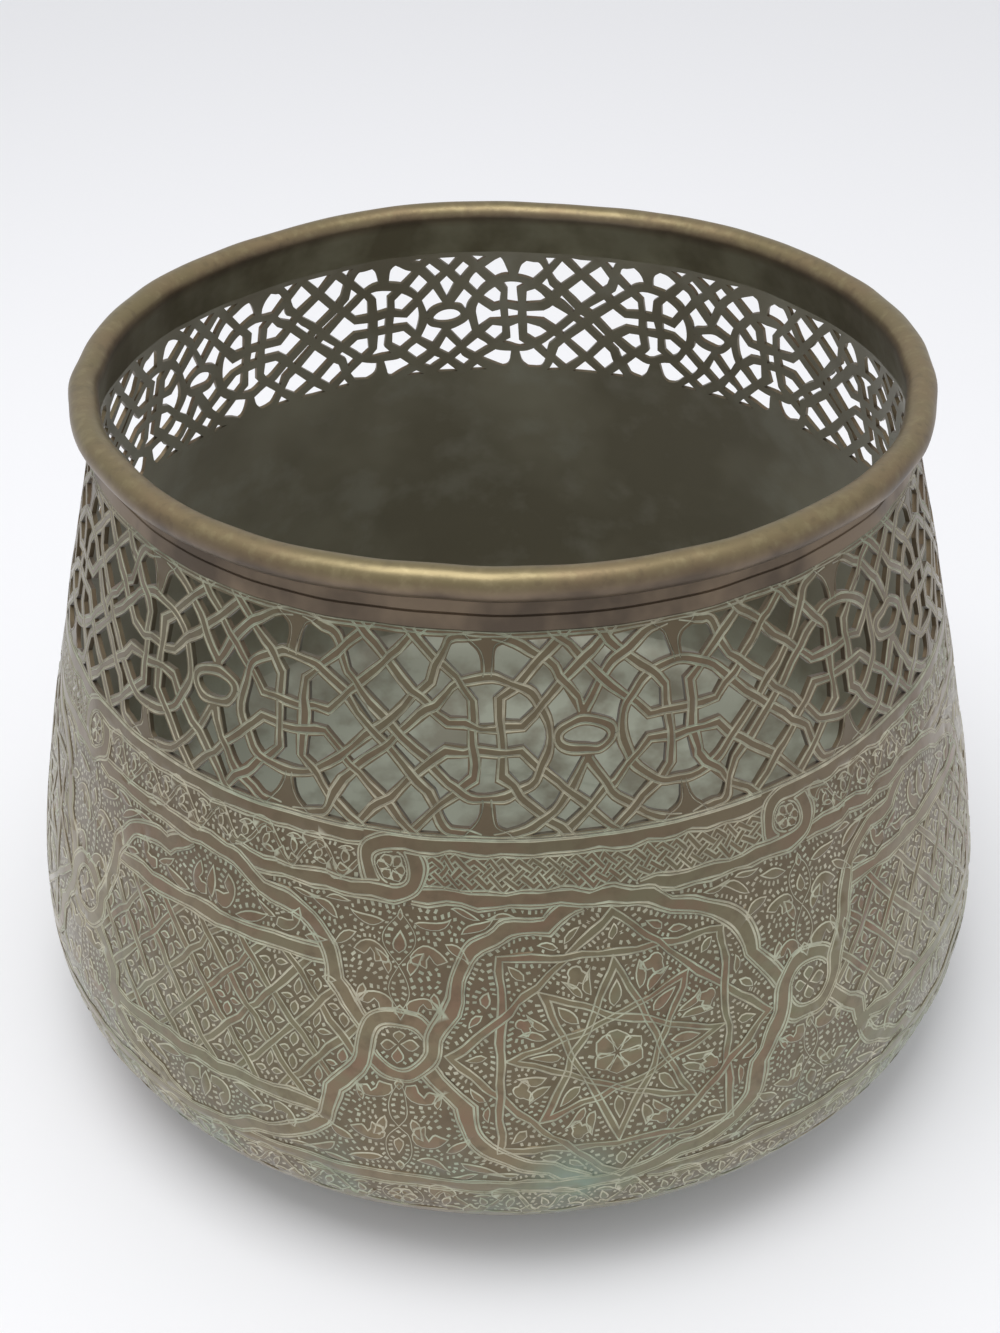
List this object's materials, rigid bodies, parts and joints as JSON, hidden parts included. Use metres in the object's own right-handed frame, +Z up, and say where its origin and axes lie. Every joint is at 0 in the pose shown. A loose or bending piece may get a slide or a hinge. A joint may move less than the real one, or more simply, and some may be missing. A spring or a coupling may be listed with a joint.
{
  "type": "pierced brass jardiniere",
  "caption": "Round-bellied brass planter pot with a rolled rim, a pierced strapwork frieze, engraved bands and a flat base.",
  "frame": {"origin": "centre of the flat that the pot stands on, directly below the middle of its box", "axes": "+Z up along the axis of the pot, -Y towards the front"},
  "size_m": [0.3394, 0.3394, 0.242],
  "materials": {
    "patinated_brass": "worn satin, olive-brown patina",
    "iron_wire": "drawn, dull"
  },
  "bodies": {
    "root": {"pierced_wall": "patinated_brass", "rim_wire": "iron_wire", "base_plate": "patinated_brass"}
  },
  "joints": []
}
